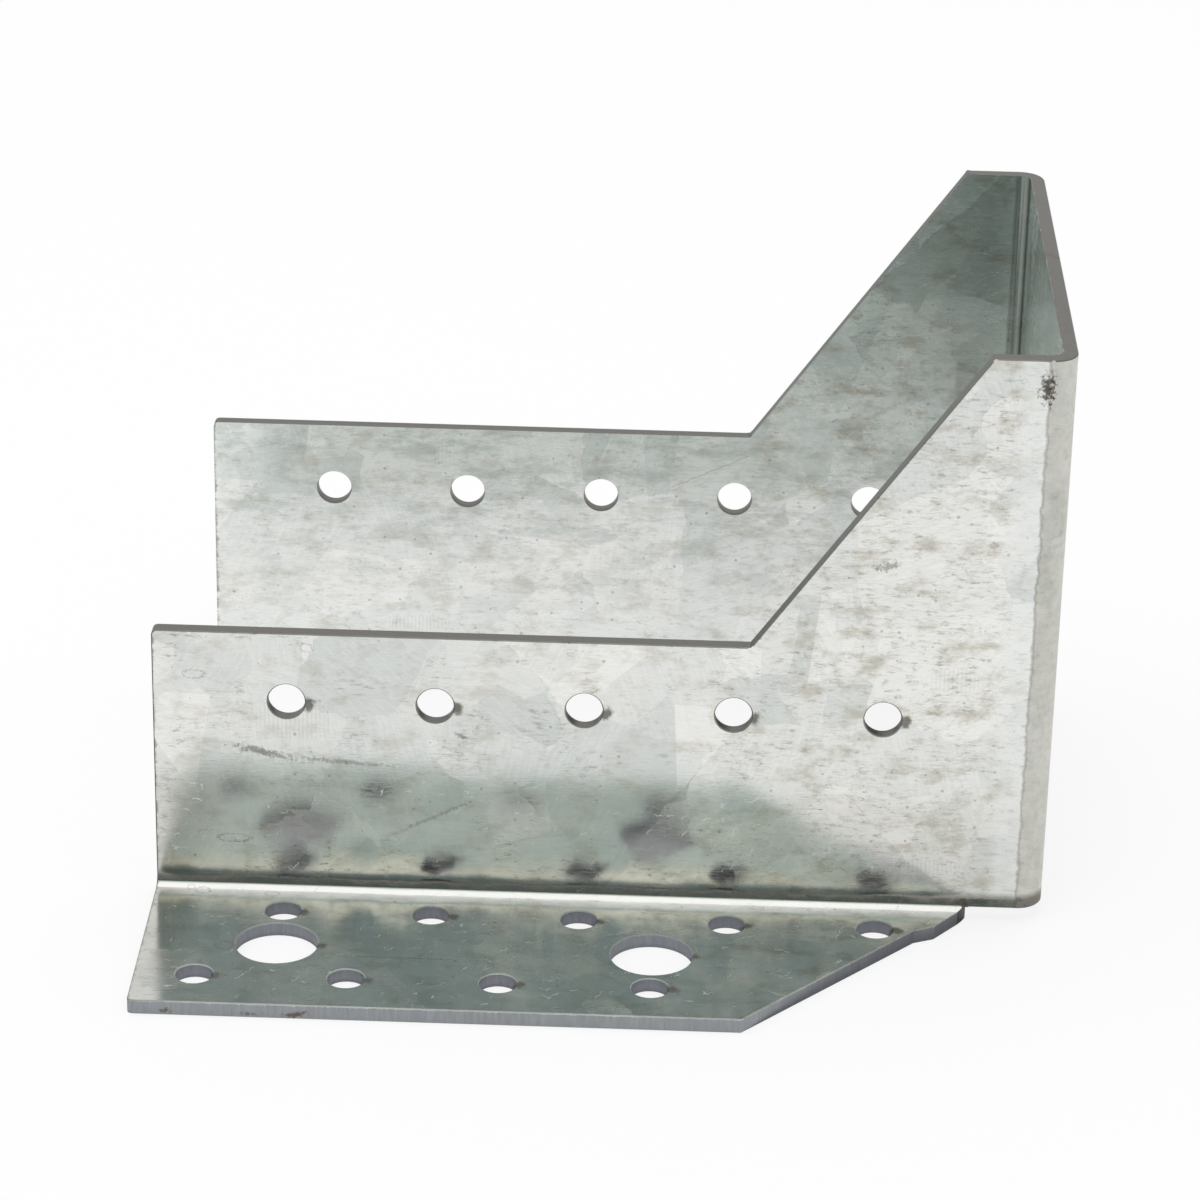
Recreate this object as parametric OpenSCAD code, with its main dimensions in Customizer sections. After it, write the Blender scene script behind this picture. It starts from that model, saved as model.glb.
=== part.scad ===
/* [Sheet] */
// Thickness of the galvanised sheet
sheet_t = 2; // [1.5:0.1:2.5]
// Inner radius of every bend
bend_r = 1.5; // [1:0.25:3]
// Radius of the sheared outer corners
corner_r = 0.8; // [0.3:0.1:2]
// Rolled-over lip along the sheared edges of the outer face
edge_roll = 0.15; // [0.05:0.05:0.25]
// How far a lip stops short of a sharp corner
lip_stop = 0.4; // [0.2:0.1:1]

/* [Joist pocket] */
// Clear width between the two side plates
joist_w = 72; // [50:1:140]
// Height from the open top to the underside of the seat
hanger_h = 121; // [112:1:170]
// Reach of the seat from the header
seat_depth = 82; // [60:1:120]
// Step back of the seat's rear edge from the header
seat_setback = 2; // [0:0.25:3]

/* [Side plates] */
// Depth of the nailing strip from the header
strip_depth = 40; // [36:1:55]
// Length of the nailing strip, from the open top to the foot of the slope
strip_l = 80; // [70:1:90]
// Length of the full-depth stretch beside the seat
seat_return = 11; // [9:0.5:16]
// Distance of the side nail row from the header
side_row = 30; // [15:0.5:35]

/* [Header flanges] */
// Width of a flange, from the outer face of its side plate
flange_w = 32.5; // [29:0.5:50]
// Distance of the inner nail row from the side plate
inner_row = 7; // [6:0.25:9]
// Spacing of the inner nail row, the bolt row and the outer nail row
row_pitch = 9; // [8.5:0.25:11]
// Bare length of a side plate's rear edge, between the flange and the seat's outer face
bare_rear = 10.5; // [9:0.1:16]
// Distance from the side plate to the foot of the taper
toe_foot = 7; // [6:0.25:9]
// Distance from the side plate to the tip of the toe
toe_tip = 5.75; // [3.5:0.25:6.5]
// Length of the toe, from the foot of the taper to its tip
toe_l = 2.75; // [1:0.25:8]
// Step back from the flange's end to the tip of the toe
toe_step = 4.5; // [2:0.25:7]

/* [Holes] */
// Diameter of a nail hole
nail_d = 5; // [3:0.1:5.5]
// Diameter of a bolt hole
bolt_d = 11; // [8:0.5:11.5]
// Distance from the open top to the first side nail and the first bolt
first_hole = 18; // [12:0.5:24]
// Spacing of the nails in a row
nail_pitch = 20; // [15:0.5:30]
// Spacing of the bolts in a flange
bolt_pitch = 50; // [30:1:60]
// Least steel left between a hole and the tapered edge
min_land = 0.6; // [0.3:0.1:2]
// Rolled-over lip where the punch enters a hole
roll_in = 0.15; // [0.05:0.05:0.4]
// Widening where the slug breaks out of a hole
break_out = 0.12; // [0.02:0.02:0.2]
// Share of the sheet that the break-out takes up
break_share = 0.3; // [0.1:0.05:0.6]

/* [Hidden] */

$fn = 64;
through = 1;                              // how far a cutting tool runs past a face
outer_r = bend_r + sheet_t;

// Along the height: the open top is at -X and the seat at +X.
x_top = -hanger_h / 2;
x_seat = hanger_h / 2;
x_notch = x_top + strip_l;
x_return = x_seat - seat_return;
x_flange_end = x_seat - bare_rear;
x_tip = x_flange_end - toe_step;
x_foot = x_tip - toe_l;

// Across the joist.
y_in = joist_w / 2;
y_out = y_in + sheet_t;
y_edge = y_out + flange_w;

// Away from the header: a flange's back face is at z = 0.
z_bend = sheet_t + bend_r;

// Hole rows of a flange, as distances from the side plate's outer face.
bolt_row = inner_row + row_pitch;
outer_row = bolt_row + row_pitch;

// Distance of a flange point from the tapered edge, with s measured from the side plate.
taper_len = norm([x_foot - x_notch, flange_w - toe_foot]);
function taper_room(x, s) =
    ((x_foot - x) * (flange_w - toe_foot) - (s - toe_foot) * (x_foot - x_notch)) / taper_len;
function clears(x, s, d) = taper_room(x, s) > d / 2 + min_land;

nail_xs = [for (x = x_top + first_hole; x < x_seat - outer_r - nail_d; x = x + nail_pitch) x];
inner_xs = [for (x = nail_xs) if (clears(x, inner_row, nail_d)) x];
outer_xs = [for (x = nail_xs) if (clears(x - nail_pitch / 2, outer_row, nail_d)) x - nail_pitch / 2];
bolt_xs = [for (x = x_top + first_hole; x < x_flange_end; x = x + bolt_pitch)
           if (clears(x, bolt_row, bolt_d)) x];

// A square corner to be taken off, leaving a quarter round inside it.
module corner_off(r) {
    difference() {
        translate([-through, -through]) square(r + through);
        translate([r, r]) circle(r);
    }
}

// Outline of the folded U, seen along the depth, with the seat's corners rounded to r.
module u_outline(half, end, r) {
    translate([x_top, -half]) square([end - r - x_top, 2 * half]);
    translate([x_top, r - half]) square([end - x_top, 2 * (half - r)]);
    for (side = [-1, 1]) translate([end - r, side * (half - r)]) circle(r);
}

module u_section() {
    difference() {
        u_outline(y_out, x_seat, outer_r);
        u_outline(y_in, x_seat - sheet_t, bend_r);
        translate([x_top - through, -y_in]) square([2 * through, joist_w]);
    }
}

// Outline of a side plate, seen across the joist: strip, slope, full depth and bare rear edge.
module side_outline() {
    difference() {
        polygon([
            [x_top, z_bend], [x_top, strip_depth], [x_notch, strip_depth], [x_return, seat_depth],
            [x_seat, seat_depth], [x_seat, seat_setback], [x_flange_end, seat_setback], [x_flange_end, z_bend]
        ]);
        translate([x_top, strip_depth]) mirror([0, 1]) corner_off(corner_r);
    }
}

// The two side plates and the seat, folded from one width of sheet.
module pocket() {
    intersection() {
        linear_extrude(seat_depth) u_section();
        rotate([90, 0, 0]) linear_extrude(2 * y_out + 2 * through, center = true) side_outline();
    }
}

// Outline of a flange and its bend, seen from the header's side. A short toe leads from the taper to
// the bend, which ends level with the bare rear edge, with no slot between them.
module flange_outline() {
    difference() {
        polygon([
            [x_top, y_in], [x_top, y_edge], [x_notch, y_edge], [x_foot, y_out + toe_foot],
            [x_tip, y_out + toe_tip], [x_flange_end, y_out], [x_flange_end, y_in]
        ]);
        translate([x_top, y_edge]) mirror([0, 1]) corner_off(corner_r);
    }
}

// Section of a flange across the joist, with the quarter bend that joins it to its side plate.
module flange_section() {
    translate([y_out + bend_r, 0]) square([flange_w - bend_r, sheet_t]);
    intersection() {
        translate([y_in, 0]) square(outer_r);
        difference() {
            translate([y_in + outer_r, outer_r]) circle(outer_r);
            translate([y_in + outer_r, outer_r]) circle(bend_r);
        }
    }
}

module flange() {
    intersection() {
        translate([x_top, 0, 0]) rotate([90, 0, 90]) linear_extrude(hanger_h) flange_section();
        translate([0, 0, -through]) linear_extrude(outer_r + 2 * through) flange_outline();
    }
}

// Cross-section of the tool that takes a sheared edge back to its rolled-over lip.
module lip_profile() {
    polygon([[-edge_roll, 0], [0, -edge_roll], [edge_roll, 0], [0, edge_roll]]);
}

// The lip of a straight edge from p to q in the XY plane, stopped short of its sharp ends.
module lip_bar(p, q, p_stop = 0, q_stop = 0) {
    run = q - p;
    translate([p.x, p.y, 0]) rotate([0, 0, atan2(run.y, run.x)]) translate([p_stop, 0, 0])
        rotate([90, 0, 90]) linear_extrude(norm(run) - p_stop - q_stop) lip_profile();
}

// The lip of a quarter arc about c in the XY plane, from the angle given.
module lip_arc(c, r, from) {
    translate([c.x, c.y, 0]) rotate([0, 0, from]) rotate_extrude(angle = 90) translate([r, 0]) lip_profile();
}

// Lips of a side plate's outer face, drawn in the XY plane with the depth along Y.
module side_lips() {
    lip_bar([x_top, z_bend], [x_top, strip_depth - corner_r]);
    lip_arc([x_top + corner_r, strip_depth - corner_r], corner_r, 90);
    lip_bar([x_top + corner_r, strip_depth], [x_notch, strip_depth], 0, lip_stop);
    lip_bar([x_notch, strip_depth], [x_return, seat_depth], lip_stop, lip_stop);
}

// Lips of half a seat edge and of the side plate's edge beside it, drawn in the XY plane.
module seat_lips(start) {
    lip_bar([start, y_out], [x_seat - outer_r, y_out], lip_stop, 0);
    lip_arc([x_seat - outer_r, y_out - outer_r], outer_r, 0);
    lip_bar([x_seat, -through], [x_seat, y_out - outer_r]);
}

// Lips of a flange's outer face, drawn in the XY plane.
module flange_lips() {
    lip_bar([x_top, y_out + bend_r], [x_top, y_edge - corner_r]);
    lip_arc([x_top + corner_r, y_edge - corner_r], corner_r, 90);
    lip_bar([x_top + corner_r, y_edge], [x_notch, y_edge], 0, lip_stop);
    lip_bar([x_notch, y_edge], [x_foot, y_out + toe_foot], lip_stop, lip_stop);
    lip_bar([x_foot, y_out + toe_foot], [x_tip, y_out + toe_tip], lip_stop, lip_stop);
}

module lips() {
    translate([0, y_out, 0]) rotate([90, 0, 0]) side_lips();
    translate([0, 0, sheet_t]) flange_lips();
    translate([x_top, 0, 0]) rotate([90, 0, 90]) lip_arc([y_out + bend_r, z_bend], bend_r, 180);
    translate([0, 0, seat_depth]) seat_lips(x_return);
    translate([0, 0, seat_setback]) seat_lips(x_flange_end);
}

// A punched hole, cut from its entry face at z = 0 down through the sheet.
module punched(d) {
    r = d / 2;
    break_h = break_share * sheet_t;
    translate([0, 0, -sheet_t - through]) cylinder(h = sheet_t + 2 * through, r = r);
    translate([0, 0, -roll_in]) cylinder(h = 2 * roll_in, r1 = r, r2 = r + 2 * roll_in);
    translate([0, 0, -sheet_t - break_h]) cylinder(h = 2 * break_h, r1 = r + 2 * break_out, r2 = r);
}

module flange_holes() {
    for (x = inner_xs) translate([x, y_out + inner_row, sheet_t]) punched(nail_d);
    for (x = outer_xs) translate([x, y_out + outer_row, sheet_t]) punched(nail_d);
    for (x = bolt_xs) translate([x, y_out + bolt_row, sheet_t]) punched(bolt_d);
}

module side_holes() {
    for (x = nail_xs) translate([x, y_out, side_row]) rotate([-90, 0, 0]) punched(nail_d);
}

module joist_hanger() {
    color("#b4b9b7")
    difference() {
        union() {
            pocket();
            flange();
            mirror([0, 1, 0]) flange();
        }
        for (side = [0, 1]) mirror([0, side, 0]) {
            flange_holes();
            side_holes();
            lips();
        }
    }
}

joist_hanger();
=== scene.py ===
import math

import bpy
from mathutils import Matrix, Vector


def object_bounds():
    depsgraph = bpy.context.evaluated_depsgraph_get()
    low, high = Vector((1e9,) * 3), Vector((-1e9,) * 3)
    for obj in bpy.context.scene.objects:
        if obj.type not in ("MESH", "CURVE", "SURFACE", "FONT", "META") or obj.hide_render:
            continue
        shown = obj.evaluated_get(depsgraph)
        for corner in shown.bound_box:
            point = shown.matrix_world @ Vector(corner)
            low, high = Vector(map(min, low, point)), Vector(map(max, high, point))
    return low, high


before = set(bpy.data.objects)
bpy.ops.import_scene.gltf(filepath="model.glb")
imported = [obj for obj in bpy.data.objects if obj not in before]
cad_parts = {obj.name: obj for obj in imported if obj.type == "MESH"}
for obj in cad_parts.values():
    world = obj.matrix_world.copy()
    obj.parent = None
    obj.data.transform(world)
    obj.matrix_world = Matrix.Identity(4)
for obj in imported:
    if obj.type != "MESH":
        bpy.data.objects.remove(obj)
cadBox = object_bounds()
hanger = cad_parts["joist_hanger"]
print("frame loaded")

mm = 0.001


def hexColor(text):  # sRGB hex to the linear values that the shaders want
    parts = [int(text[i:i + 2], 16) / 255 for i in (1, 3, 5)]
    return tuple(c / 12.92 if c <= 0.04045 else ((c + 0.055) / 1.055) ** 2.4 for c in parts) + (1.0,)


def addNode(tree, kind, settings=None, *values, **named):  # a value may be a number, a socket or a node
    node = tree.nodes.new("ShaderNode" + kind)
    if isinstance(settings, str):
        settings = {"operation": settings}
    for name, value in (settings or {}).items():
        setattr(node, name, value)
    pairs = list(zip([socket for socket in node.inputs if socket.enabled], values))
    pairs += [(node.inputs[name.replace("_", " ")], value) for name, value in named.items()]
    for socket, value in pairs:
        if isinstance(value, bpy.types.Node):
            value = next(out for out in value.outputs if out.enabled)
        if isinstance(value, bpy.types.NodeSocket):
            tree.links.new(value, socket)
        elif value is not None:
            socket.default_value = value
    return node


def newMaterial(name):
    material = bpy.data.materials.new(name)
    material.use_nodes = True
    material.node_tree.nodes.clear()
    return material, material.node_tree


# settings that many nodes share
smooth = {"interpolation_type": "SMOOTHSTEP"}
blend = {"data_type": "RGBA"}
number = {"data_type": "FLOAT"}
flatNoise = {"noise_dimensions": "2D"}
flatCells = {"voronoi_dimensions": "2D"}
aboutZ = {"rotation_type": "Z_AXIS"}

# Studio: white floor and backdrop, bright sky, a dim room behind the camera with one low warm window.
# Heights in the sky are sines of the elevation, and a pair of them is where a change starts and ends
studio = {
    "room": "#8b9a9b",
    "haze": "#c4d3d0",     # between the room and the sky
    "sky": "#ffffff",
    "skyLevel": 1.0,
    "roomToHaze": (0.0, 0.34),
    "hazeToSky": (0.34, 0.72),
    "overhead": (0.71, 0.85),  # from here up, the sky is bright all round
    "backdropPull": 0.45,  # how much sooner the sky turns bright behind the object than in front of it
    "window": "#fbf9ea",
    "windowLow": (0.35, 0.45),
    "windowHigh": (0.53, 0.65),
    "windowSide": (-0.75, -0.4),  # how far it reaches round from the front, which is at -1
    "floorColor": "#f7f7f6",
    "floorShade": "#b4b2b8",  # painted shadow: what the metal mirrors of the floor under the flanges
    "floorLift": 0.8,      # share of the floor that shows as plain white to the camera
    "floorGloss": 0.6,     # the same for what the metal mirrors
    "floorSize": 8.0,      # m
    "floorHidden": (38.0, 70.5, 60.5),  # mm: under the flanges, from and to across, and half length
    "hiddenTaper": (0.83, 86.5),  # its tapered edge: slope, and place across at the middle
    "lampPower": 2.0,      # W
    "lampSize": 0.9,       # m
    "lampPlace": (-0.15, -0.05, 0.95),  # m
}


def makeWorld(values):
    world = bpy.data.worlds.new("studioSky")
    bpy.context.scene.world = world
    world.use_nodes = True
    tree = world.node_tree
    tree.nodes.clear()
    path = addNode(tree, "LightPath")
    coord = addNode(tree, "TexCoord")
    parts = addNode(tree, "SeparateXYZ", None, coord.outputs["Generated"])
    height, depth = parts.outputs["Z"], parts.outputs["Y"]
    lean = addNode(tree, "Math", "MULTIPLY_ADD", depth, values["backdropPull"], height)
    rise = addNode(tree, "MapRange", smooth, lean, *values["roomToHaze"])
    sky = addNode(tree, "Mix", blend, rise, hexColor(values["room"]), hexColor(values["haze"]))
    rise = addNode(tree, "MapRange", smooth, lean, *values["hazeToSky"])
    overhead = addNode(tree, "MapRange", smooth, height, *values["overhead"])
    rise = addNode(tree, "Math", "MAXIMUM", rise, overhead)
    sky = addNode(tree, "Mix", blend, rise, sky, hexColor(values["sky"]))
    low = addNode(tree, "MapRange", smooth, height, *values["windowLow"])
    high = addNode(tree, "MapRange", smooth, height, *values["windowHigh"], 1.0, 0.0)
    front = addNode(tree, "MapRange", smooth, depth, *values["windowSide"], 1.0, 0.0)
    window = addNode(tree, "Math", "MULTIPLY", low, high)
    window = addNode(tree, "Math", "MULTIPLY", window, front)
    sky = addNode(tree, "Mix", blend, window, sky, hexColor(values["window"]))
    light = addNode(tree, "Background", None, sky, values["skyLevel"])
    white = addNode(tree, "Background", None, (1, 1, 1, 1), 1.0)
    both = addNode(tree, "MixShader", None, path.outputs["Is Camera Ray"], light, white)
    addNode(tree, "OutputWorld", None, both)


def makeFloor(values):
    material, tree = newMaterial("mattWhiteStudioPaper")  # without gloss, lifted to plain white, and with a painted shadow under the flanges that only the metal's reflections show
    path = addNode(tree, "LightPath")
    lift = addNode(tree, "Emission", None, (1, 1, 1, 1), 1.0)
    seen = addNode(tree, "Math", "MULTIPLY", path.outputs["Is Camera Ray"], values["floorLift"])
    coord = addNode(tree, "TexCoord")
    place = addNode(tree, "SeparateXYZ", None, coord.outputs["Object"])
    inner, outer, end = (length * mm for length in values["floorHidden"])
    slope, start = values["hiddenTaper"]
    across = addNode(tree, "Math", "ABSOLUTE", place.outputs["Y"])
    along = addNode(tree, "Math", "ABSOLUTE", place.outputs["X"])
    taper = addNode(tree, "Math", "MULTIPLY_ADD", place.outputs["X"], slope, across)
    underIn = addNode(tree, "Math", "GREATER_THAN", across, inner)
    underOut = addNode(tree, "Math", "LESS_THAN", across, outer)
    underEnd = addNode(tree, "Math", "LESS_THAN", along, end)
    underTaper = addNode(tree, "Math", "LESS_THAN", taper, start * mm)
    under = addNode(tree, "Math", "MULTIPLY", underIn, underOut)
    under = addNode(tree, "Math", "MULTIPLY", under, underEnd)
    under = addNode(tree, "Math", "MULTIPLY", under, underTaper)
    # painted shadow: the metal mirrors the floorShade colour under the flanges
    dark = addNode(tree, "Math", "MULTIPLY", path.outputs["Is Glossy Ray"], under)
    mirrored = addNode(tree, "Math", "SUBTRACT", path.outputs["Is Glossy Ray"], dark)
    plain, shaded = hexColor(values["floorColor"]), hexColor(values["floorShade"])
    color = addNode(tree, "Mix", blend, dark, plain, shaded)
    paper = addNode(tree, "BsdfDiffuse", None, color)
    seen = addNode(tree, "Math", "MULTIPLY_ADD", mirrored, values["floorGloss"], seen)
    both = addNode(tree, "MixShader", None, seen, paper, lift)
    addNode(tree, "OutputMaterial", None, both)
    bpy.ops.object.select_all(action="DESELECT")
    bpy.ops.mesh.primitive_plane_add(size=values["floorSize"], location=(0, 0, cadBox[0].z))
    floor = bpy.context.object
    floor.name = "studioFloor"
    floor.data.materials.append(material)


def makeLamp(values):
    bpy.ops.object.light_add(type="AREA", location=values["lampPlace"])
    lamp = bpy.context.object
    lamp.name = "overheadSoftbox"
    lamp.data.shape = "SQUARE"
    lamp.data.size = values["lampSize"]
    lamp.data.energy = values["lampPower"]
    lamp.visible_glossy = False  # the zinc mirrors the even white above and not the lamp


# Camera: looks down on the hanger from in front of one flange
view = {
    "place": (10.71, -552.25, 279.56),  # mm
    "yaw": -1.27,          # degrees, as are the next two
    "pitch": -24.39,
    "roll": 1.20,
    "lens": 128.0,
    "sensor": 36.0,
}


def makeCamera(values):
    data = bpy.data.cameras.new("mainCamera")
    data.lens = values["lens"]
    data.sensor_width = values["sensor"]
    data.clip_start = 0.01
    camera = bpy.data.objects.new("mainCamera", data)
    bpy.context.scene.collection.objects.link(camera)
    turn = Matrix.Rotation(math.radians(-values["yaw"]), 4, "Z")
    turn = turn @ Matrix.Rotation(math.radians(90 + values["pitch"]), 4, "X")
    turn = turn @ Matrix.Rotation(math.radians(values["roll"]), 4, "Z")
    camera.matrix_world = Matrix.Translation(Vector(values["place"]) * mm) @ turn
    bpy.context.scene.camera = camera


makeWorld(studio)
makeFloor(studio)
makeLamp(studio)
makeCamera(view)
bpy.context.scene.view_settings.view_transform = "Standard"
print("studio ready")


# Hot-dip galvanised sheet: pale zinc frozen in grains a finger wide, faint rolled streaks, and sheared edges
# that are bare steel. Lengths are in mm, and amounts run from 0 to 1
zinc = {
    "brightGrain": "#efeeeb",
    "dullGrain": "#d5d8d6",
    "insideFilm": (0.92, 0.99, 1.0),  # how a duller film dims the inner faces towards the open edge
    # the next colour serves streaks and scratches, and also painted shade on the sides' foot and the flanges'
    # open end
    "streakAndShade": "#a39f94",
    "grime": "#b3ad9d",
    "smudge": "#a8b0aa",
    "speck": "#6f6b61",
    # the next colour serves smears and rubs, and also painted shade in the crease, on the sides' lips and
    # beside the holes
    "smearAndShade": "#6b665c",
    # the next colour is painted shade inside the seat bend
    "bendShade": "#626861",
    "scuff": "#f4f6f4",
    "shearedEdge": "#74726d",
    "punchedWall": "#9a9ca0",
    "holeWall": "#c9ccd0",
    "burr": "#e6e8e6",
    # the next colour is a painted highlight on the fold
    "foldHighlight": "#fbfbf6",
    "bendBand": "#dddbd5",
    "bendLine": "#8d897e",
    "paleStrip": "#eceeed",
    "grainWide": 17.0,     # across a large grain
    "grainFine": 6.5,
    "shard": 7.5,          # across a straight-edged grain
    "featherPitch": 0.5,   # drawn coarser than the real 0.1, so that it shows
    "hairPitch": 0.2,      # rolled hairlines, drawn coarser than the real 0.05
    "hairDepth": 0.01,
    "hairBump": 0.4,       # how strongly that depth shows
    "hairAmount": 0.36,
    "smudgePitch": 0.75,   # from smudge to smudge, across the streaks
    "smudgeAmount": 0.55,
    "insideShare": 0.55,   # share of the streaks that the inner faces have
    "grimeAmount": 0.42,
    "speckPitch": 2.3,
    "speckShare": 0.15,    # share of the cells that hold a speck
    "foldHighlightAmount": 0.95,
    "tilt": 0.03,          # how far the grains lean
    "flangeTilt": 0.009,
    "roughest": 0.25,
    "glossiest": 0.11,
    "shearedRough": 0.45,
    # where each layer starts and ends
    "filmHeights": (8.0, 60.0),
    "paleHeights": (6.0, 20.0),      # the inner faces are palest near the header
    "footShadeHeights": (16.0, 21.0),     # the outer faces are a little darker near the header: painted shade
    "mottleHeights": (8.0, 26.0),
    "mottleFades": (42.0, 68.0),
    "handledEnd": (0.0, 40.0),       # the grime is strongest towards the seat
    "streakedEnd": (5.0, 40.0),
    "stripPlace": (52.8, 55.0),      # a pale strip beside the seat bend
    "knockHeights": (19.5, 17.5),    # knocks show most below these
    "foldHighlightHeights": (-6.0, -2.0),
    "creaseShadeHeights": (3.2, 4.6),     # painted shade in the crease, with a brown tint, on the unfolded sheet
    "dimEndLength": 8.5,               # of the flanges' open end, which painted shade darkens
    "stainPlace": (0.35, -0.3),      # of the painted shade beside each hole, from the hole's rightmost point
    # what each kind of wear, and each mask of painted shade, adds to the roughness
    "rougher": {"lines": 0.35, "bend": 0.3, "strip": 0.15, "knocks": 0.5, "rubAndShade": 0.4, "shadedLip": 0.5,
                "brightLip": 0.4},
    # shape of the sheet: heights are over the flange's back, and across is from the middle
    "thick": 2.0,
    "sideFace": 38.0,      # outer face of the sides
    "seatFace": 60.5,      # underside of the seat, along the height of the hanger
    "openEnd": -60.5,
    "bendEnd": 57.0,       # where a side meets the seat bend
    "bendInside": 34.5,    # where the seat meets its bend, across
    "tornLine": 57.45,     # where the zinc is torn along the outside of the seat bend
    "foldTop": 3.5,        # where a side meets the flange fold
    "foldOut": 39.5,       # where a flange meets the fold, across
    "foldEnd": 50.0,       # where the fold ends beside the seat
    "creaseTop": 2.1,      # the crease that the press left in the fold, on the unfolded sheet
    # rows of side nails, inner nails, outer nails and bolts: height on the unfolded sheet, first hole,
    # pitch, number of holes, radius
    "rows": ((30.0, -42.5, 20.0, 5, 2.5), (-5.0, -42.5, 20.0, 5, 2.5), (-23.0, -52.5, 20.0, 4, 2.5),
             (-14.0, -42.5, 50.0, 2, 5.5)),
    # slope of the outer face at heights on the unfolded sheet: the press leaves a crease in the fold,
    # a hollow below it and a flange that closes up by 7 degrees; 0 is upright and 90 is level
    "foldSlope": ((-10.0, 97.0), (-8.0, 95.2), (-6.0, 93.8), (-4.5, 92.8), (-3.2, 90.5), (-2.2, 87.5),
                  (-1.3, 77.0), (0.5, 60.0), (1.9, 38.0), (2.1, 17.0), (3.2, 14.0), (3.9, 0.0), (5.0, -1.0),
                  (9.0, -1.5), (29.0, -1.5), (36.0, 0.0)),
    "foldWave": 5.0,       # degrees that the slope wanders along the fold
    # straight marks, one to a cell: width of a cell, half length, half width, waviness, and which scatter
    "knocks": (2.4, 0.7, 0.11, 1.4, 3.0),
    "nicks": (8.0, 2.2, 0.08, 0.8, 31.0),
    "scratches": (42.0, 19.0, 0.11, 0.5, 57.0),
}

# rubs and stains on the unfolded sheet: u and v in mm, half length, half width, turn in degrees, strength
rubs = (
    (-45.8, 22.4, 4.5, 0.55, -14, 0.6),
    (-34.5, 21.2, 6.5, 0.4, -4, 0.45),
    (-22.0, 13.6, 6.0, 0.3, 27, 0.4),
    (-19.0, 25.7, 0.9, 0.35, -20, 0.5),
    (56.6, 78.2, 1.0, 2.2, 0, 0.95),
    (49.6, 2.6, 1.1, 0.8, 0, 1.0),
    (37.1, 52.4, 1.7, 0.7, 10, 0.5),
    (-38.5, -31.9, 1.5, 0.45, 12, 1.0),
    (-55.4, -31.9, 0.7, 0.4, 0, 0.9),
    (-44.8, -32.0, 1.4, 0.25, 0, 0.8),
    (-25.6, -17.1, 11.0, 0.2, 0, 0.5),
    (99.6, 82.0, 0.7, 2.0, 0, 0.9),
)

# ring-shaped marks: u and v in mm, radius across and up
rings = (
    (-55.7, 0.8, 0.5, 0.6),
    (-54.0, 0.0, 1.0, 0.8),
    (-49.4, -15.1, 1.2, 1.1),
    (-44.5, -0.4, 0.9, 0.7),
    (-39.7, 38.0, 0.8, 0.6),
    (-54.9, 33.7, 1.5, 0.6),
    (-49.9, 9.2, 2.2, 0.6),
)

# fine upright ribbing from the rolls: u and v in mm, half length, half height
ribs = (
    (-41.5, 27.8, 7.0, 4.6),
    (44.0, 8.0, 7.0, 1.6),
    (47.0, 36.0, 5.0, 2.4),
)


def sheetPlace(tree, values):  # place on the object in mm, and on the unfolded sheet: u along it, v up it
    coord = addNode(tree, "TexCoord")
    p = addNode(tree, "VectorMath", "SCALE", coord.outputs["Object"], Scale=1 / mm)
    place = addNode(tree, "SeparateXYZ", None, p)
    x, y, z = (place.outputs[axis] for axis in "XYZ")
    across = addNode(tree, "Math", "ABSOLUTE", y)
    past = addNode(tree, "Math", "SUBTRACT", across, values["sideFace"])
    past = addNode(tree, "Math", "MAXIMUM", past, 0.0)
    v = addNode(tree, "Math", "SUBTRACT", z, past)
    wrap = addNode(tree, "Math", "ADD", y, values["sideFace"])
    wrap = addNode(tree, "Math", "MAXIMUM", wrap, 0.0)
    wrap = addNode(tree, "Math", "MINIMUM", wrap, 2 * values["sideFace"])
    u = addNode(tree, "Math", "ADD", x, wrap)
    flat = addNode(tree, "CombineXYZ", None, u, v)
    at = {"p": p, "x": x, "z": z, "across": across, "u": u, "v": v, "flat": flat}

    # which way the face looks: out from the middle, or into the pocket
    normal = addNode(tree, "SeparateXYZ", None, coord.outputs["Normal"])
    for axis in "XYZ":
        at["n" + axis.lower()] = addNode(tree, "Math", "ABSOLUTE", normal.outputs[axis])
    outward = addNode(tree, "Math", "SIGN", y)
    outer = addNode(tree, "Math", "MULTIPLY_ADD", normal.outputs["Y"], outward, normal.outputs["X"])
    at["outward"] = outward
    at["facing"] = addNode(tree, "Math", "MULTIPLY_ADD", normal.outputs["Y"], outward, normal.outputs["Z"])
    at["outer"] = addNode(tree, "Math", "GREATER_THAN", outer, 0.05)
    at["inner"] = addNode(tree, "Math", "SUBTRACT", 1.0, at["outer"])
    at["onPlate"] = addNode(tree, "MapRange", smooth, v, values["creaseTop"] - 0.4, values["creaseTop"])

    # slow and quick wandering over the sheet, and a ragged noise for the edges of marks
    sway = addNode(tree, "TexNoise", flatNoise, flat, 0.13, 3.0, 0.6)
    wiggle = addNode(tree, "TexNoise", flatNoise, flat, 0.9, 2.0)
    at["sway"], at["wander"], at["wiggle"] = sway.outputs["Color"], sway.outputs[0], wiggle.outputs["Color"]
    at["ragged"] = addNode(tree, "TexNoise", None, p, 0.55, 5.0, 0.75)
    return at


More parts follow.
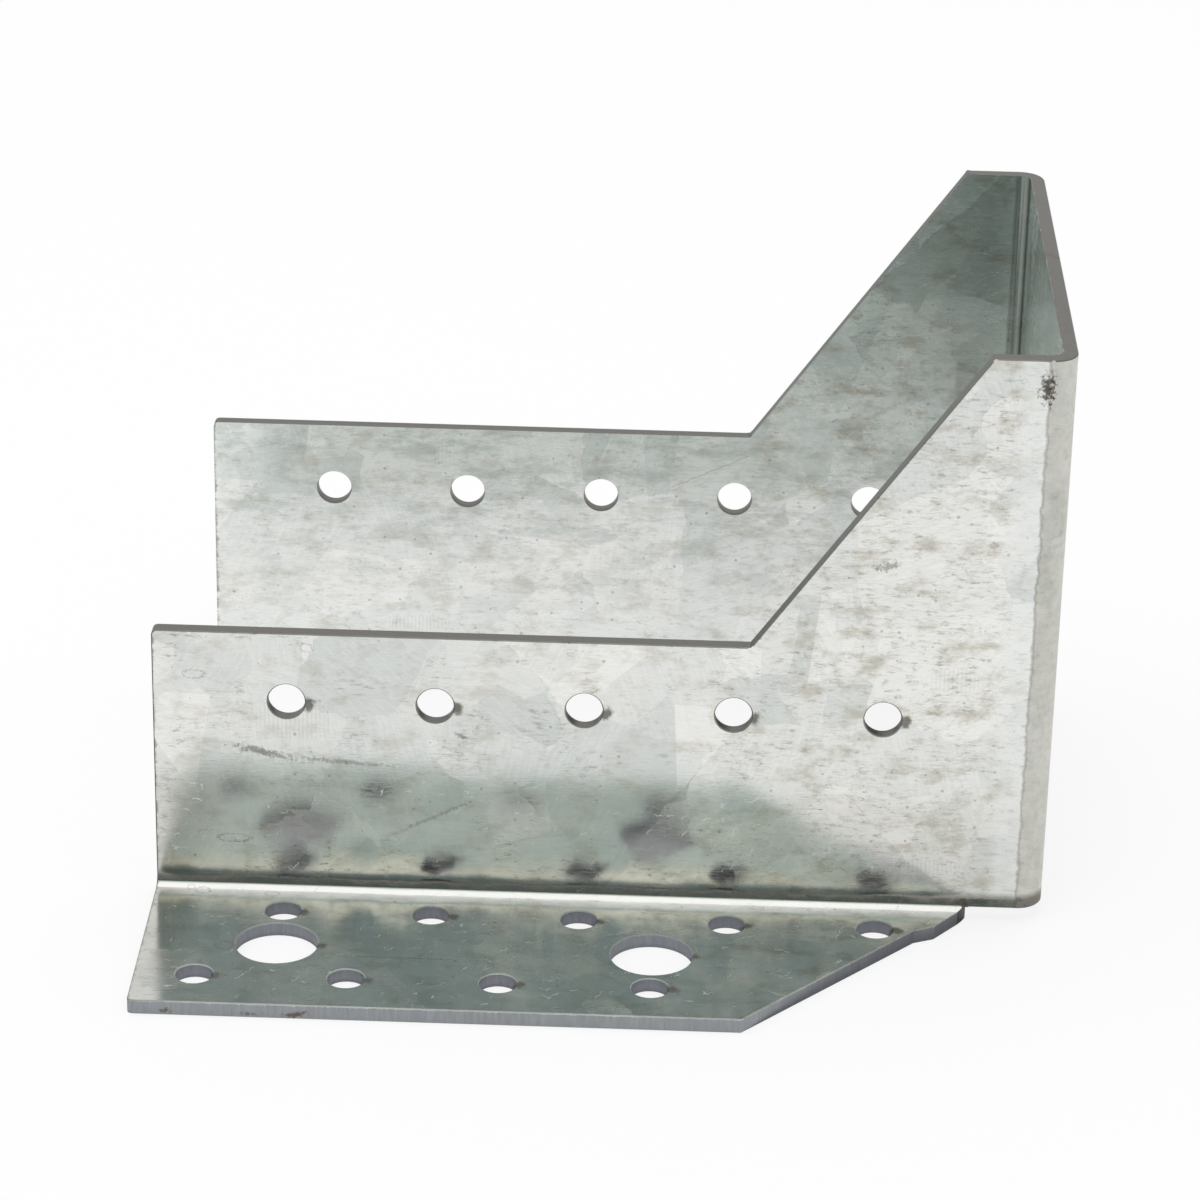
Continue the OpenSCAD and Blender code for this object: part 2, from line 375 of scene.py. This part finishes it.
def cutFaces(tree, at, values):  # 1 on sheared and punched faces, and the place through the thickness
    slack = 0.05  # mm that a border keeps from the edge that it follows
    onFlange = addNode(tree, "Math", "GREATER_THAN", at["across"], values["foldOut"] - slack)
    onSeat = addNode(tree, "Math", "GREATER_THAN", at["x"], values["bendEnd"] + 0.3)
    low = addNode(tree, "Math", "LESS_THAN", at["z"], values["foldTop"] - slack)
    before = addNode(tree, "Math", "LESS_THAN", at["x"], values["foldEnd"] + slack)
    inFold = addNode(tree, "Math", "MULTIPLY", low, before)
    side = addNode(tree, "Math", "LESS_THAN", at["ny"], 0.5)
    fold = addNode(tree, "Math", "GREATER_THAN", at["nx"], 0.4)
    seat = addNode(tree, "Math", "GREATER_THAN", at["nz"], 0.5)
    flange = addNode(tree, "Math", "LESS_THAN", at["nz"], 0.5)
    cut = addNode(tree, "Mix", number, inFold, side, fold)
    cut = addNode(tree, "Mix", number, onSeat, cut, seat)
    at["cut"] = addNode(tree, "Mix", number, onFlange, cut, flange)
    through = addNode(tree, "Math", "SUBTRACT", at["across"], values["sideFace"] - values["thick"])
    seatThrough = addNode(tree, "Math", "SUBTRACT", at["x"], values["seatFace"] - values["thick"])
    through = addNode(tree, "Mix", number, onSeat, through, seatThrough)
    at["through"] = addNode(tree, "Mix", number, onFlange, through, at["z"])
    at["onFlange"] = onFlange


def holeRims(tree, at, values):  # distance from the nearest hole's rim, and from the painted shade beside it
    far = 50.0  # mm, past the reach of any rim or stain
    rim, stain = far, far
    right, up = values["stainPlace"]
    for height, start, pitch, count, radius in values["rows"]:
        half = pitch / 2
        along = addNode(tree, "Math", "SUBTRACT", at["x"], start)
        along = addNode(tree, "Math", "WRAP", along, half, -half)
        above = addNode(tree, "Math", "SUBTRACT", at["v"], height)
        spot = addNode(tree, "CombineXYZ", None, along, above)
        past = addNode(tree, "Math", "SUBTRACT", at["x"], start + (count - 1) * half)
        past = addNode(tree, "Math", "ABSOLUTE", past)
        past = addNode(tree, "Math", "GREATER_THAN", past, count * half)
        away = addNode(tree, "VectorMath", "LENGTH", spot)
        away = addNode(tree, "Math", "SUBTRACT", away, radius)
        away = addNode(tree, "Math", "MULTIPLY_ADD", past, far, away)
        rim = addNode(tree, "Math", "MINIMUM", rim, away)
        beside = addNode(tree, "VectorMath", "SUBTRACT", spot, (radius + right, up, 0.0))
        beside = addNode(tree, "VectorMath", "LENGTH", beside)
        beside = addNode(tree, "Math", "MULTIPLY_ADD", past, far, beside)
        stain = addNode(tree, "Math", "MINIMUM", stain, beside)
    at["rim"], at["stain"] = rim, stain


def spangle(tree, at, values):  # frozen zinc grains: tone, gloss and tilt for each, with feathers inside
    bent = addNode(tree, "VectorMath", "MULTIPLY_ADD", at["sway"], (4.0, 4.0, 0.0), at["flat"])
    wide = addNode(tree, "TexVoronoi", flatCells, bent, 1 / values["grainWide"])
    fine = addNode(tree, "TexVoronoi", flatCells, bent, 1 / values["grainFine"])
    wideParts = addNode(tree, "SeparateColor", None, wide.outputs["Color"])
    shattered = addNode(tree, "Math", "GREATER_THAN", wideParts.outputs[1], 0.5)
    grain = addNode(tree, "Mix", blend, shattered, wide.outputs["Color"], fine.outputs["Color"])
    parts = addNode(tree, "SeparateColor", None, grain)
    tilt = addNode(tree, "VectorMath", "SUBTRACT", grain, (0.5, 0.5, 0.5))

    turn = addNode(tree, "Math", "MULTIPLY", parts.outputs[2], 6.28)  # its feathers point any way
    feather = addNode(tree, "VectorRotate", aboutZ, at["flat"], None, turn)
    feather = addNode(tree, "VectorMath", "MULTIPLY", feather, (0.3, 1 / values["featherPitch"], 1.0))
    feather = addNode(tree, "TexNoise", flatNoise, feather, 1.0, 2.0, 0.5)
    feather = addNode(tree, "MapRange", None, feather, 0.3, 0.7, -0.15, 0.15)

    shard = addNode(tree, "VectorRotate", aboutZ, at["flat"], None, 0.5)
    shard = addNode(tree, "VectorMath", "MULTIPLY", shard, (1.0, 0.62, 1.0))
    shard = addNode(tree, "TexVoronoi", flatCells, shard, 1 / values["shard"])
    shard = addNode(tree, "SeparateColor", None, shard.outputs["Color"])
    pale = addNode(tree, "MapRange", None, shard.outputs[0], 0.8, 0.81, 0.0, 0.45)
    dark = addNode(tree, "MapRange", None, shard.outputs[1], 0.84, 0.85, 0.0, -0.35)
    shard = addNode(tree, "Math", "ADD", pale, dark)

    tone = addNode(tree, "Math", "ADD", parts.outputs[0], feather)
    tone = addNode(tree, "Math", "ADD", tone, shard)
    return tone, parts.outputs[1], tilt


def innerFilm(tree, at, values, color):  # the inner faces keep a duller film, thickest towards the open edge
    film = addNode(tree, "MapRange", smooth, at["z"], *values["filmHeights"])
    film = addNode(tree, "Math", "MULTIPLY", film, at["inner"])
    dimmed = addNode(tree, "VectorMath", "MULTIPLY", color, values["insideFilm"])
    color = addNode(tree, "Mix", blend, film, color, dimmed)
    pale = addNode(tree, "MapRange", smooth, at["z"], *values["paleHeights"], 0.6, 0.0)
    pale = addNode(tree, "Math", "MULTIPLY", pale, at["inner"])
    return addNode(tree, "Mix", blend, pale, color, hexColor(values["scuff"]))


def grimeClouds(tree, at, values, color):  # faint brown clouds, stronger towards the seat
    cloud = addNode(tree, "VectorMath", "MULTIPLY", at["flat"], (0.16, 0.3, 1.0))
    cloud = addNode(tree, "TexNoise", flatNoise, cloud, 1.0, 6.0, 0.68)
    cloud = addNode(tree, "MapRange", smooth, cloud, 0.47, 0.75, 0.0, values["grimeAmount"])
    handled = addNode(tree, "MapRange", smooth, at["x"], *values["handledEnd"], 1.0, 1.7)
    cloud = addNode(tree, "Math", "MULTIPLY", cloud, handled)
    return addNode(tree, "Mix", blend, cloud, color, hexColor(values["grime"]))


def markReach(tree, at, u, v, halfLong, halfWide, turn=0):  # 1 on the outline of one mark
    local = addNode(tree, "VectorMath", "SUBTRACT", at["flat"], (u, v, 0.0))
    local = addNode(tree, "VectorRotate", aboutZ, local, None, math.radians(-turn))
    local = addNode(tree, "VectorMath", "MULTIPLY", local, (1 / halfLong, 1 / halfWide, 1.0))
    return addNode(tree, "VectorMath", "LENGTH", local)


def rolledRibs(tree, at):  # the listed patches of ribbing
    bands = {"wave_type": "BANDS", "bands_direction": "X"}
    wave = addNode(tree, "TexWave", bands, at["flat"], 0.55, 0.6, 1.0)
    most = 0.0
    for u, v, halfLong, halfHigh in ribs:
        reach = markReach(tree, at, u, v, halfLong, halfHigh)
        mark = addNode(tree, "MapRange", smooth, reach, 0.5, 1.0, 0.12, 0.0)
        most = addNode(tree, "Math", "MAXIMUM", most, mark)
    return addNode(tree, "Math", "MULTIPLY", wave.outputs[1], most)


def rolledLines(tree, at, values):  # hairlines and smudges drawn out along the sheet, both in patches
    hair = addNode(tree, "VectorMath", "MULTIPLY_ADD", at["wiggle"], (0.0, 0.5, 0.0), at["flat"])
    hair = addNode(tree, "VectorMath", "MULTIPLY", hair, (0.3, 1 / values["hairPitch"], 1.0))
    hair = addNode(tree, "TexNoise", flatNoise, hair, 1.0, 3.0, 0.65)
    smudge = addNode(tree, "VectorMath", "MULTIPLY", at["flat"], (0.5, 1 / values["smudgePitch"], 1.0))
    smudge = addNode(tree, "TexNoise", flatNoise, smudge, 1.0, 6.0, 0.75)
    nearSeat = addNode(tree, "MapRange", smooth, at["u"], *values["streakedEnd"], 0.0, 0.15)
    patch = addNode(tree, "Math", "ADD", at["wander"], nearSeat)
    patch = addNode(tree, "MapRange", smooth, patch, 0.42, 0.66)
    hairs = addNode(tree, "MapRange", smooth, hair, 0.52, 0.7)
    hairs = addNode(tree, "Math", "MULTIPLY_ADD", patch, 0.6, hairs)
    hairs = addNode(tree, "Math", "SUBTRACT", hairs, 0.55)
    hairs = addNode(tree, "Math", "MAXIMUM", hairs, 0.0)
    hairs = addNode(tree, "Math", "MULTIPLY", hairs, values["hairAmount"])
    smudges = addNode(tree, "MapRange", smooth, smudge, 0.52, 0.7)
    smudges = addNode(tree, "Math", "MULTIPLY", smudges, patch)
    lines = addNode(tree, "Math", "MULTIPLY_ADD", smudges, values["smudgeAmount"], hairs)
    share = addNode(tree, "MapRange", None, at["inner"], 0.0, 1.0, 1.0, values["insideShare"])
    return hair, addNode(tree, "Math", "MULTIPLY", lines, share)


def rolledStreaks(tree, at, values, color):  # streaks, ribs, and painted shade that darkens the foot of each side's outer face
    at["hair"], lines = rolledLines(tree, at, values)
    tone = addNode(tree, "MapRange", None, at["hair"], 0.3, 0.7, 0.94, 1.05)
    color = addNode(tree, "VectorMath", "SCALE", color, Scale=tone)
    # painted shade: the low part of each side's outer face is darker
    footShade = addNode(tree, "MapRange", smooth, at["v"], *values["footShadeHeights"], 0.2, 0.0)
    footShade = addNode(tree, "Math", "MULTIPLY", footShade, at["onPlate"])
    footShade = addNode(tree, "Math", "MULTIPLY", footShade, at["outer"])
    color = addNode(tree, "Mix", blend, footShade, color, hexColor(values["streakAndShade"]))
    at["lines"] = addNode(tree, "Math", "ADD", lines, rolledRibs(tree, at))
    return addNode(tree, "Mix", blend, at["lines"], color, hexColor(values["streakAndShade"]))


def innerMottle(tree, at, values, color):  # the inner faces were never wiped: dull smudges along the sheet
    mottle = addNode(tree, "VectorMath", "MULTIPLY", at["flat"], (0.1, 0.28, 1.0))
    mottle = addNode(tree, "TexNoise", flatNoise, mottle, 1.0, 7.0, 0.72)
    mottle = addNode(tree, "MapRange", smooth, mottle, 0.44, 0.68)
    most = addNode(tree, "MapRange", smooth, at["z"], *values["mottleHeights"], 0.1, 0.5)
    fade = addNode(tree, "MapRange", smooth, at["z"], *values["mottleFades"], 1.0, 0.4)
    most = addNode(tree, "Math", "MULTIPLY", most, fade)
    mottle = addNode(tree, "Math", "MULTIPLY", mottle, most)
    mottle = addNode(tree, "Math", "MULTIPLY", mottle, at["inner"])
    return addNode(tree, "Mix", blend, mottle, color, hexColor(values["smudge"]))


def drossSpecks(tree, at, values, color):  # specks of dross and dirt
    rare = 1 - values["speckShare"]
    dots = addNode(tree, "TexVoronoi", flatCells, at["flat"], 1 / values["speckPitch"])
    parts = addNode(tree, "SeparateColor", None, dots.outputs["Color"])
    radius = addNode(tree, "MapRange", None, parts.outputs[0], rare, 1.0, 0.0, 0.1)
    dot = addNode(tree, "Math", "SUBTRACT", dots.outputs["Distance"], radius)
    dot = addNode(tree, "MapRange", smooth, dot, -0.02, 0.03, 0.4, 0.0)
    some = addNode(tree, "Math", "GREATER_THAN", parts.outputs[0], rare)
    dot = addNode(tree, "Math", "MULTIPLY", dot, some)
    return addNode(tree, "Mix", blend, dot, color, hexColor(values["speck"]))


def seatBendOutside(tree, at, values, color):  # a pale strip, a torn line, then crazed and duller zinc
    edge = addNode(tree, "Math", "MULTIPLY_ADD", at["ragged"], 1.3, at["x"])
    onBend = addNode(tree, "MapRange", smooth, at["across"], values["bendInside"] - 2.0, values["bendInside"])
    onBend = addNode(tree, "Math", "MULTIPLY", onBend, at["outer"])
    strip = addNode(tree, "MapRange", smooth, edge, *values["stripPlace"], 0.0, 0.5)
    strip = addNode(tree, "Math", "MULTIPLY", strip, onBend)
    color = addNode(tree, "Mix", blend, strip, color, hexColor(values["paleStrip"]))
    craze = addNode(tree, "MapRange", None, at["ragged"], 0.35, 0.65, 0.88, 1.04)
    band = addNode(tree, "VectorMath", "SCALE", hexColor(values["bendBand"])[:3], Scale=craze)
    bend = addNode(tree, "MapRange", smooth, edge, values["tornLine"] - 0.1, values["tornLine"] + 0.15)
    bend = addNode(tree, "Math", "MULTIPLY", bend, onBend)
    color = addNode(tree, "Mix", blend, bend, color, band)
    torn = addNode(tree, "Math", "SUBTRACT", edge, values["tornLine"])
    torn = addNode(tree, "Math", "ABSOLUTE", torn)
    torn = addNode(tree, "MapRange", smooth, torn, 0.05, 0.3, 0.45, 0.0)
    torn = addNode(tree, "Math", "MULTIPLY", torn, onBend)
    at["bend"], at["strip"] = bend, strip
    return addNode(tree, "Mix", blend, torn, color, hexColor(values["bendLine"]))


def seatBendInsideShade(tree, at, values, color):  # painted shade inside the bend, and a painted shade line along each end of it
    first = addNode(tree, "Math", "SUBTRACT", at["x"], values["bendEnd"])
    first = addNode(tree, "Math", "ABSOLUTE", first)
    second = addNode(tree, "Math", "SUBTRACT", at["across"], values["bendInside"])
    second = addNode(tree, "Math", "ABSOLUTE", second)
    line = addNode(tree, "Math", "MINIMUM", first, second)
    line = addNode(tree, "MapRange", smooth, line, 0.15, 0.7, 0.5, 0.0)
    near = addNode(tree, "Math", "GREATER_THAN", at["x"], values["bendEnd"] - 2.0)
    line = addNode(tree, "Math", "MULTIPLY", line, near)
    turned = addNode(tree, "Math", "MULTIPLY", at["nx"], at["ny"])
    turned = addNode(tree, "MapRange", smooth, turned, 0.0, 0.2, 0.0, 0.85)
    line = addNode(tree, "Math", "MAXIMUM", line, turned)
    line = addNode(tree, "Math", "MULTIPLY", line, at["inner"])
    return addNode(tree, "Mix", blend, line, color, hexColor(values["bendShade"]))


def rolledLips(tree, at, values, color):  # the lips are bright on the flanges; on the sides painted shade darkens them and damps their highlight
    level = addNode(tree, "Math", "MAXIMUM", at["nx"], at["ny"])
    level = addNode(tree, "Math", "MAXIMUM", level, at["nz"])
    lip = addNode(tree, "MapRange", smooth, level, 0.75, 0.9, 0.7, 0.0)
    at["brightLip"] = addNode(tree, "Math", "MULTIPLY", lip, at["onFlange"])
    color = addNode(tree, "Mix", blend, at["brightLip"], color, hexColor(values["burr"]))
    # painted shade on the sides' lips
    above = addNode(tree, "Math", "GREATER_THAN", at["v"], values["foldTop"] + 0.1)
    lip = addNode(tree, "Math", "MULTIPLY", lip, above)
    before = addNode(tree, "Math", "LESS_THAN", at["x"], values["bendEnd"] - 0.2)
    at["shadedLip"] = addNode(tree, "Math", "MULTIPLY", lip, before)
    return addNode(tree, "Mix", blend, at["shadedLip"], color, hexColor(values["smearAndShade"]))


def straightMarks(tree, at, pitch, reach, wide, bend, seed):  # one mark in each cell of a scatter
    moved = addNode(tree, "VectorMath", "MULTIPLY_ADD", at["wiggle"], (bend, bend, 0.0), at["flat"])
    moved = addNode(tree, "VectorMath", "ADD", moved, (seed, 2 * seed, 0.0))
    cells = addNode(tree, "TexVoronoi", flatCells, moved, 1 / pitch)
    parts = addNode(tree, "SeparateColor", None, cells.outputs["Color"])
    local = addNode(tree, "VectorMath", "SUBTRACT", moved, cells.outputs["Position"])
    turn = addNode(tree, "MapRange", None, parts.outputs[0], 0.0, 1.0, -1.3, 0.6)
    local = addNode(tree, "VectorRotate", aboutZ, local, None, turn)
    local = addNode(tree, "SeparateXYZ", None, local)
    along = addNode(tree, "Math", "ABSOLUTE", local.outputs["X"])
    away = addNode(tree, "Math", "ABSOLUTE", local.outputs["Y"])
    end = addNode(tree, "MapRange", None, parts.outputs[1], 0.3, 1.0, -0.1, reach)
    along = addNode(tree, "Math", "LESS_THAN", along, end)
    away = addNode(tree, "MapRange", smooth, away, 0.4 * wide, wide, 1.0, 0.0)
    return addNode(tree, "Math", "MULTIPLY", along, away)


def knocksAndScratches(tree, at, values, color):  # knocks are bright on the flange and faint elsewhere
    knocks = straightMarks(tree, at, *values["knocks"])
    knocks = addNode(tree, "Math", "MAXIMUM", knocks, straightMarks(tree, at, *values["nicks"]))
    show = addNode(tree, "MapRange", smooth, at["v"], *values["knockHeights"], 0.12, 0.7)
    knocks = addNode(tree, "Math", "MULTIPLY", knocks, show)
    patch = addNode(tree, "MapRange", smooth, at["wander"], 0.4, 0.6, 0.3, 1.0)
    at["knocks"] = addNode(tree, "Math", "MULTIPLY", knocks, patch)
    color = addNode(tree, "Mix", blend, at["knocks"], color, hexColor(values["scuff"]))
    scratch = addNode(tree, "Math", "MULTIPLY", straightMarks(tree, at, *values["scratches"]), 0.4)
    return addNode(tree, "Mix", blend, scratch, color, hexColor(values["streakAndShade"]))


def foldHighlightPaint(tree, at, values, color):  # a painted highlight: near-white zinc on the fold's outer face, so that the fold reads bright
    heights = values["foldHighlightHeights"]
    paintedHighlight = addNode(tree, "MapRange", smooth, at["v"], *heights, 0.0, values["foldHighlightAmount"])
    below = addNode(tree, "Math", "LESS_THAN", at["v"], values["creaseTop"])
    paintedHighlight = addNode(tree, "Math", "MULTIPLY", paintedHighlight, below)
    paintedHighlight = addNode(tree, "Math", "MULTIPLY", paintedHighlight, at["outer"])
    return addNode(tree, "Mix", blend, paintedHighlight, color, hexColor(values["foldHighlight"]))


def creaseShadeAndEndDirt(tree, at, values, color):  # painted shade in the crease above the flange, dirt along the open end, and painted shade over the flanges' open end
    # painted shade: the crease above the flange is darkened
    crease = addNode(tree, "MapRange", smooth, at["v"], *values["creaseShadeHeights"], 0.8, 0.0)
    crease = addNode(tree, "Math", "MULTIPLY", crease, at["onPlate"])
    crease = addNode(tree, "Math", "MULTIPLY", crease, at["outer"])
    first = values["openEnd"]
    end = addNode(tree, "Math", "MULTIPLY_ADD", at["ragged"], -2.0, at["x"])
    end = addNode(tree, "MapRange", smooth, end, first - 1.0, first - 0.6, 0.6, 0.0)
    shadeAndDirt = addNode(tree, "Math", "MAXIMUM", crease, end)
    color = addNode(tree, "Mix", blend, shadeAndDirt, color, hexColor(values["smearAndShade"]))
    # painted shade: the flanges' open end is darker, which dims its reflection
    dimEnd = addNode(tree, "MapRange", smooth, at["x"], first, first + values["dimEndLength"], 0.55, 0.0)
    dimEnd = addNode(tree, "Math", "MULTIPLY", dimEnd, at["onFlange"])
    return addNode(tree, "Mix", blend, dimEnd, color, hexColor(values["streakAndShade"]))


def brightRims(tree, at, values, color):  # a bright rim round each hole of the flange
    ring = addNode(tree, "MapRange", smooth, at["rim"], 0.12, 0.5, 0.85, 0.0)
    ring = addNode(tree, "Math", "MULTIPLY", ring, at["onFlange"])
    return addNode(tree, "Mix", blend, ring, color, hexColor(values["burr"]))


def shearedFaces(tree, at, values, color):  # fine upright striations and a broken bright burr
    shear = addNode(tree, "VectorMath", "MULTIPLY", at["p"], (2.6, 2.6, 0.35))
    shear = addNode(tree, "TexNoise", None, shear, 1.0, 4.0, 0.7)
    shade = addNode(tree, "MapRange", None, shear, 0.3, 0.7, 0.88, 1.12)
    bare, punched = hexColor(values["shearedEdge"]), hexColor(values["punchedWall"])
    steel = addNode(tree, "Mix", blend, at["onFlange"], bare, punched)
    wall = addNode(tree, "Math", "LESS_THAN", at["rim"], 0.3)
    wall = addNode(tree, "Math", "MULTIPLY", wall, at["onFlange"])
    steel = addNode(tree, "Mix", blend, wall, steel, hexColor(values["holeWall"]))
    steel = addNode(tree, "VectorMath", "SCALE", steel, Scale=shade)
    burr = addNode(tree, "Math", "MULTIPLY_ADD", shear, 0.5, at["through"])
    burr = addNode(tree, "MapRange", smooth, burr, 2.05, 2.15, 0.0, 0.75)
    burr = addNode(tree, "Math", "MULTIPLY", burr, at["onFlange"])

    # the seat's edge has it in flecks, along its inner side
    flecks = addNode(tree, "Math", "MULTIPLY_ADD", shear, -1.6, at["through"])
    flecks = addNode(tree, "MapRange", smooth, flecks, -0.92, -0.82, 0.7, 0.0)
    onSeat = addNode(tree, "Math", "GREATER_THAN", at["x"], values["bendEnd"])
    flecks = addNode(tree, "Math", "MULTIPLY", flecks, onSeat)
    betweenBends = addNode(tree, "Math", "LESS_THAN", at["across"], values["bendInside"])
    flecks = addNode(tree, "Math", "MULTIPLY", flecks, betweenBends)
    burr = addNode(tree, "Math", "MAXIMUM", burr, flecks)
    steel = addNode(tree, "Mix", blend, burr, steel, hexColor(values["burr"]))
    return addNode(tree, "Mix", blend, at["cut"], color, steel)


def rubsAndHoleShade(tree, at, values, color):  # those listed, and painted shade to the right of each hole
    ragged = addNode(tree, "TexNoise", flatNoise, at["flat"], 1.8, 5.0, 0.75)
    most = 0.0
    for u, v, halfLong, halfWide, turn, strength in rubs:
        reach = markReach(tree, at, u, v, halfLong, halfWide, turn)
        reach = addNode(tree, "Math", "MULTIPLY_ADD", ragged, 4.0, reach)
        mark = addNode(tree, "MapRange", smooth, reach, 2.3, 3.2, strength, 0.0)
        most = addNode(tree, "Math", "MAXIMUM", most, mark)
    for u, v, across, up in rings:
        reach = markReach(tree, at, u, v, across, up)
        reach = addNode(tree, "Math", "MULTIPLY_ADD", ragged, 1.6, reach)
        reach = addNode(tree, "Math", "SUBTRACT", reach, 1.8)
        reach = addNode(tree, "Math", "ABSOLUTE", reach)
        mark = addNode(tree, "MapRange", smooth, reach, 0.06, 0.16, 0.35, 0.0)
        most = addNode(tree, "Math", "MAXIMUM", most, mark)
    # painted shade: a dark crescent at the lower right of each hole
    spot = addNode(tree, "Math", "MULTIPLY_ADD", at["ragged"], 2.4, at["stain"])
    spot = addNode(tree, "MapRange", smooth, spot, 1.6, 2.4, 0.8, 0.0)
    rubAndShade = addNode(tree, "Math", "MAXIMUM", most, spot)
    skin = addNode(tree, "Math", "MAXIMUM", at["outer"], at["onFlange"])
    skin = addNode(tree, "Math", "MAXIMUM", skin, at["cut"])
    at["rubAndShade"] = addNode(tree, "Math", "MULTIPLY", rubAndShade, skin)
    return addNode(tree, "Mix", blend, at["rubAndShade"], color, hexColor(values["smearAndShade"]))


def foldNormal(tree, at, normal, values):  # how the press left the outer face near the fold
    stops = values["foldSlope"]
    first, last = stops[0][0], stops[-1][0]
    where = addNode(tree, "MapRange", None, at["v"], first, last)
    ramp = addNode(tree, "ValToRGB", None, where)
    lowest, highest = -10.0, 110.0  # degrees that black and white stand for
    points = ramp.color_ramp.elements
    for v, angle in stops[1:-1]:
        points.new((v - first) / (last - first))
    for point, (v, angle) in zip(points, stops):
        shade = (angle - lowest) / (highest - lowest)
        point.position = (v - first) / (last - first)
        point.color = (shade, shade, shade, 1.0)
    span = (math.radians(lowest), math.radians(highest))
    slope = addNode(tree, "MapRange", None, ramp.outputs["Color"], 0.0, 1.0, *span)
    wave = addNode(tree, "Math", "SUBTRACT", at["wander"], 0.5)
    most = 2 * math.radians(values["foldWave"])
    near = addNode(tree, "MapRange", smooth, at["v"], 6.0, 16.0, most, 0.0)
    slope = addNode(tree, "Math", "MULTIPLY_ADD", wave, near, slope)
    level = addNode(tree, "Math", "COSINE", slope)
    level = addNode(tree, "Math", "MULTIPLY", level, at["outward"])
    upright = addNode(tree, "Math", "SINE", slope)
    pressed = addNode(tree, "CombineXYZ", None, 0.0, level, upright)
    skin = addNode(tree, "Math", "GREATER_THAN", at["facing"], 0.6)
    skin = addNode(tree, "Math", "SUBTRACT", skin, at["cut"])
    below = addNode(tree, "Math", "LESS_THAN", at["v"], last)
    skin = addNode(tree, "Math", "MULTIPLY", skin, below)
    beforeSeat = addNode(tree, "Math", "LESS_THAN", at["x"], values["bendEnd"])
    skin = addNode(tree, "Math", "MULTIPLY", skin, beforeSeat)
    return addNode(tree, "Mix", {"data_type": "VECTOR"}, skin, normal, pressed)


def galvanisedSheet(values):
    material, tree = newMaterial("hotDipGalvanisedSheet")
    at = sheetPlace(tree, values)
    cutFaces(tree, at, values)
    holeRims(tree, at, values)
    tone, gloss, tilt = spangle(tree, at, values)
    color = addNode(tree, "Mix", blend, tone, hexColor(values["dullGrain"]), hexColor(values["brightGrain"]))

    # each layer goes over those before it
    for layer in (innerFilm, grimeClouds, rolledStreaks, innerMottle, drossSpecks, seatBendOutside,
                  seatBendInsideShade, rolledLips, knocksAndScratches, foldHighlightPaint, creaseShadeAndEndDirt, brightRims,
                  shearedFaces, rubsAndHoleShade):
        color = layer(tree, at, values, color)

    rough = addNode(tree, "MapRange", None, gloss, 0.0, 1.0, values["glossiest"], values["roughest"])
    for wear, more in values["rougher"].items():
        rough = addNode(tree, "Math", "MULTIPLY_ADD", at[wear], more, rough)
    rough = addNode(tree, "Mix", number, at["cut"], rough, values["shearedRough"])

    calm = addNode(tree, "MapRange", None, at["onFlange"], 0.0, 1.0, values["tilt"], values["flangeTilt"])
    lean = addNode(tree, "VectorMath", "SCALE", tilt, Scale=calm)
    normal = addNode(tree, "NewGeometry")
    normal = foldNormal(tree, at, normal.outputs["Normal"], values)
    normal = addNode(tree, "VectorMath", "ADD", normal, lean)
    normal = addNode(tree, "VectorMath", "NORMALIZE", normal)
    normal = addNode(tree, "Bump", None, Strength=values["hairBump"], Distance=values["hairDepth"] * mm,
                     Height=at["hair"], Normal=normal)
    metal = addNode(tree, "BsdfPrincipled", None, Base_Color=color, Metallic=1.0, Roughness=rough,
                    Normal=normal)
    addNode(tree, "OutputMaterial", None, metal)
    return material


hanger.data.materials.clear()
hanger.data.materials.append(galvanisedSheet(zinc))
print("finishes done")
